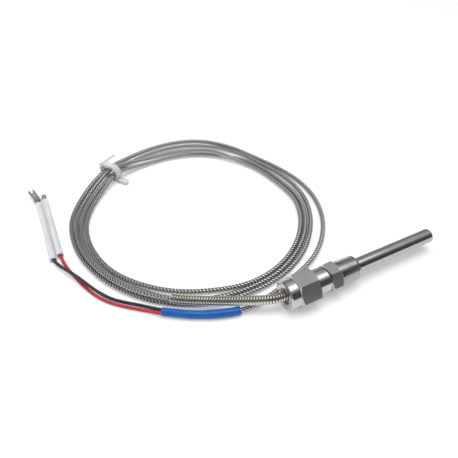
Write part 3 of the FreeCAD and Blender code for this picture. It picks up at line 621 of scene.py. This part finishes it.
def make_shrink():
    line = Line(spline_points(TAIL_POINTS + SLEEVED_TAIL_POINTS + SHRINK_END_POINTS))
    cable_stops = line.nearest(SLEEVED_TAIL_POINTS[-1])
    out = even(line.nearest(SHRINK_FRONT), line.length, SHRINK_STEP)
    blend = np.clip((out - cable_stops) / SHRINK_NARROWS + 0.5, 0.0, 1.0)
    blend = blend * blend * (3 - 2 * blend)
    outer = SHRINK_R + (SHRINK_LEADS_R - SHRINK_R) * blend
    to_end = np.minimum(out - out[0], out[-1] - out)
    outer = outer - SHRINK_LIP_DEPTH * np.clip(1 - to_end / SHRINK_LIP, 0.0, 1.0) ** 2
    # out along the outside and back along the inside
    distance = np.concatenate([out, out[::-1]])
    radius = np.concatenate([outer, outer[::-1] - SHRINK_WALL])
    piece = tube("shrink_film", line, distance, radius, SHRINK_SIDES, "probe")
    mesh = piece.data
    shape = bmesh.new()
    shape.from_mesh(mesh)
    caps = [face for face in shape.faces if len(face.verts) > 4]
    bmesh.ops.delete(shape, geom=caps, context="FACES_ONLY")
    edges = [edge for edge in shape.edges if edge.is_boundary]
    bmesh.ops.bridge_loops(shape, edges=edges)
    for face in shape.faces:
        face.smooth = True
    shape.to_mesh(mesh)
    shape.free()
    return piece


shrink = make_shrink()
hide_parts("heat_shrink_sleeve")
dress(shrink, shrink_film)

# Leads
LEAD_STEP = 0.7 * MM
LEAD_SIDES = 14
sleeve_way = Vector((-math.sin(SLEEVE_TURN), math.cos(SLEEVE_TURN), 0.0))


def make_lead(colour, points, mouth, finish):
    route = points + [tuple(mouth), tuple(mouth + sleeve_way * LEAD_IN_SLEEVE)]
    line = Line(spline_points(route))
    name = "%s_lead_fibre" % colour
    lead = tube(name, line, even(0.0, line.length, LEAD_STEP), LEAD_D / 2, LEAD_SIDES, "probe")
    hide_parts("%s_lead" % colour)
    dress(lead, finish)


make_lead("black", BLACK_POINTS, BLACK_MOUTH, black_fibre)
make_lead("red", RED_POINTS, RED_MOUTH, red_fibre)

# Fitting body with its pipe thread, 27 turns to the inch
THREAD_PITCH = 25.4 / 27 * MM
THREAD_DEPTH = 0.6 * MM
THREAD_START = -13.5 * MM
THREAD_END = -4.1 * MM
THREAD_LARGE_R = 5.3125 * MM
THREAD_SMALL_R = 5.0 * MM
THREAD_COLUMNS = 72
# share of the pitch at which crest and root start and end, and how deep each is
THREAD_PROFILE = ((0.0, 0.0), (0.12, 0.0), (0.5, 1.0), (0.62, 1.0))
# plain cone left at each end of the thread
THREAD_MARGIN = 0.05 * MM
# distances within which a point is on the cone, on the rim of the thread, or the same point
CONE_NEAR = 0.03 * MM
RIM_NEAR = 0.2 * MM
SAME_POINT = 0.001 * MM
SHARP_EDGE = math.radians(20)


def cone_radius(x):
    share = (x - THREAD_START) / (THREAD_END - THREAD_START)
    return THREAD_LARGE_R + (THREAD_SMALL_R - THREAD_LARGE_R) * share


def on_cone(vertex):
    x, y, z = vertex.co
    inside = THREAD_START - CONE_NEAR < x < THREAD_END + CONE_NEAR
    return inside and abs(math.hypot(y, z - AXIS_Z) - cone_radius(x)) < CONE_NEAR


def cut_thread(shape):
    # a column of points along the thread for each direction, each a little further on than the last
    first, last = THREAD_START + THREAD_MARGIN, THREAD_END - THREAD_MARGIN
    steps = len(THREAD_PROFILE)
    laps = math.ceil((last - first) / THREAD_PITCH) + 2
    columns = []
    for j in range(THREAD_COLUMNS):
        turn = j / THREAD_COLUMNS
        angle = 2 * math.pi * turn
        column = []
        for row in range(laps * steps):
            share, depth = THREAD_PROFILE[row % steps]
            x = first + THREAD_PITCH * (row // steps - 1 + share + turn)
            if x <= first or x >= last:
                depth = 0.0
            x = min(max(x, first), last)
            radius = cone_radius(x) - depth * THREAD_DEPTH
            place = (x, radius * math.cos(angle), AXIS_Z + radius * math.sin(angle))
            column.append(shape.verts.new(place))
        columns.append(column)
    for j, column in enumerate(columns):
        onward = columns[(j + 1) % THREAD_COLUMNS]
        lead = steps if j == THREAD_COLUMNS - 1 else 0
        for row in range(laps * steps - 1 - lead):
            corners = (column[row], column[row + 1], onward[row + 1 + lead], onward[row + lead])
            shape.faces.new(corners)
    vertices = [vertex for column in columns for vertex in column]
    bmesh.ops.remove_doubles(shape, verts=vertices, dist=SAME_POINT)


def make_threaded_body():
    # the body's own mesh, with its plain cone exchanged for the thread
    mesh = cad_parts["fitting_body"].data.copy()
    mesh.name = "threaded_body"
    shape = bmesh.new()
    shape.from_mesh(mesh)
    bmesh.ops.remove_doubles(shape, verts=shape.verts, dist=SAME_POINT)
    cone = [face for face in shape.faces if all(on_cone(vertex) for vertex in face.verts)]
    bmesh.ops.delete(shape, geom=cone, context="FACES")
    cut_thread(shape)
    open_edges = [edge for edge in shape.edges if edge.is_boundary]
    for x in (THREAD_START, THREAD_END):
        ring = [
            edge for edge in open_edges
            if abs((edge.verts[0].co.x + edge.verts[1].co.x) / 2 - x) < RIM_NEAR
        ]
        bmesh.ops.bridge_loops(shape, edges=ring)
    bmesh.ops.recalc_face_normals(shape, faces=shape.faces)
    shape.to_mesh(mesh)
    shape.free()
    if "custom_normal" in mesh.attributes:
        mesh.attributes.remove(mesh.attributes["custom_normal"])
    mesh.shade_smooth()
    mesh.set_sharp_from_angle(angle=SHARP_EDGE)
    piece = bpy.data.objects.new("threaded_body", mesh)
    bpy.context.scene.collection.objects.link(piece)
    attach(piece, "fitting")
    return piece


threaded_body = make_threaded_body()
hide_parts("fitting_body")
dress(threaded_body, fitting_steel)

# Floor: pale paper that takes the shadows, with a share of plain white where it is seen or mirrored
FLOOR_R = 4.0
FLOOR_SIDES = 96
FLOOR_DROP = 0.02 * MM
PAPER = (0.95, 0.95, 0.95, 1.0)
WHITE = (1.0, 1.0, 1.0, 1.0)
FLOOR_WHITE = 0.35


def floor_material():
    material = bpy.data.materials.new("floor")
    material.use_nodes = True
    tree = material.node_tree
    tree.nodes.remove(tree.nodes["Principled BSDF"])
    paper = tree.nodes.new("ShaderNodeBsdfDiffuse")
    paper.inputs["Color"].default_value = PAPER
    glow = tree.nodes.new("ShaderNodeEmission")
    glow.inputs["Color"].default_value = WHITE
    rays = tree.nodes.new("ShaderNodeLightPath")
    seen = rays.outputs["Is Camera Ray"]
    for kind in ("Is Glossy Ray", "Is Transmission Ray"):
        either = tree.nodes.new("ShaderNodeMath")
        either.operation = "MAXIMUM"
        tree.links.new(seen, either.inputs[0])
        tree.links.new(rays.outputs[kind], either.inputs[1])
        seen = either.outputs[0]
    share = tree.nodes.new("ShaderNodeMath")
    share.operation = "MULTIPLY"
    share.inputs[1].default_value = FLOOR_WHITE
    tree.links.new(seen, share.inputs[0])
    mix = tree.nodes.new("ShaderNodeMixShader")
    tree.links.new(share.outputs[0], mix.inputs["Fac"])
    tree.links.new(paper.outputs[0], mix.inputs[1])
    tree.links.new(glow.outputs[0], mix.inputs[2])
    tree.links.new(mix.outputs[0], tree.nodes["Material Output"].inputs["Surface"])
    return material


floor_mesh = bpy.data.meshes.new("floor")
disc = bmesh.new()
bmesh.ops.create_circle(disc, cap_ends=True, segments=FLOOR_SIDES, radius=FLOOR_R)
disc.to_mesh(floor_mesh)
disc.free()
floor_mesh.materials.append(floor_material())
floor = bpy.data.objects.new("floor", floor_mesh)
floor.location.z = -FLOOR_DROP
bpy.context.scene.collection.objects.link(floor)

bpy.context.scene.view_settings.view_transform = "Standard"

# Studio: grey all round, dark behind the camera, with a pale ceiling and a light panel in it.
# Each has the direction it lies in, the cosines at which it starts and is full, and its level.
ROOM = 0.3
PANELS = (
    ((0.15, -0.93, 0.35), 0.45, 0.9, 0.09),
    ((0.2, 0.15, 1.0), 0.6, 0.92, 0.62),
    ((0.3, 0.0, 0.95), 0.93, 0.965, 2.0),
)


def make_studio():
    world = bpy.data.worlds.new("studio")
    world.use_nodes = True
    tree = world.node_tree
    spot = tree.nodes.new("ShaderNodeTexCoord")
    light = None
    for side, start, full, level in PANELS:
        facing = tree.nodes.new("ShaderNodeVectorMath")
        facing.operation = "DOT_PRODUCT"
        facing.inputs[1].default_value = Vector(side).normalized()
        tree.links.new(spot.outputs["Generated"], facing.inputs[0])
        share = tree.nodes.new("ShaderNodeMapRange")
        share.interpolation_type = "SMOOTHSTEP"
        share.inputs["From Min"].default_value = start
        share.inputs["From Max"].default_value = full
        tree.links.new(facing.outputs["Value"], share.inputs["Value"])
        blend = tree.nodes.new("ShaderNodeMix")
        blend.data_type = "FLOAT"
        blend.inputs["A"].default_value = ROOM
        blend.inputs["B"].default_value = level
        tree.links.new(share.outputs["Result"], blend.inputs["Factor"])
        if light:
            tree.links.new(light, blend.inputs["A"])
        light = blend.outputs["Result"]
    tree.links.new(light, tree.nodes["Background"].inputs["Strength"])
    tree.nodes["Background"].inputs["Color"].default_value = WHITE
    bpy.context.scene.world = world


make_studio()

# Soft lights: name, place, width and height in metres, and power in watts. All face the coil.
LIGHTS_FACE = (-0.03, 0.05, 0.0)
SOFTBOXES = (
    ("top_box", (0.0, 0.05, 0.9), (0.7, 0.5), 5.0),
    ("left_box", (-0.8, 0.2, 0.6), (0.5, 0.5), 3.0),
)
for name, place, size, power in SOFTBOXES:
    lamp = bpy.data.lights.new(name, "AREA")
    lamp.shape = "RECTANGLE"
    lamp.size, lamp.size_y = size
    lamp.energy = power
    holder = bpy.data.objects.new(name, lamp)
    holder.location = place
    holder.rotation_euler = (Vector(LIGHTS_FACE) - Vector(place)).to_track_quat("-Z", "Y").to_euler()
    holder.visible_glossy = False
    bpy.context.scene.collection.objects.link(holder)
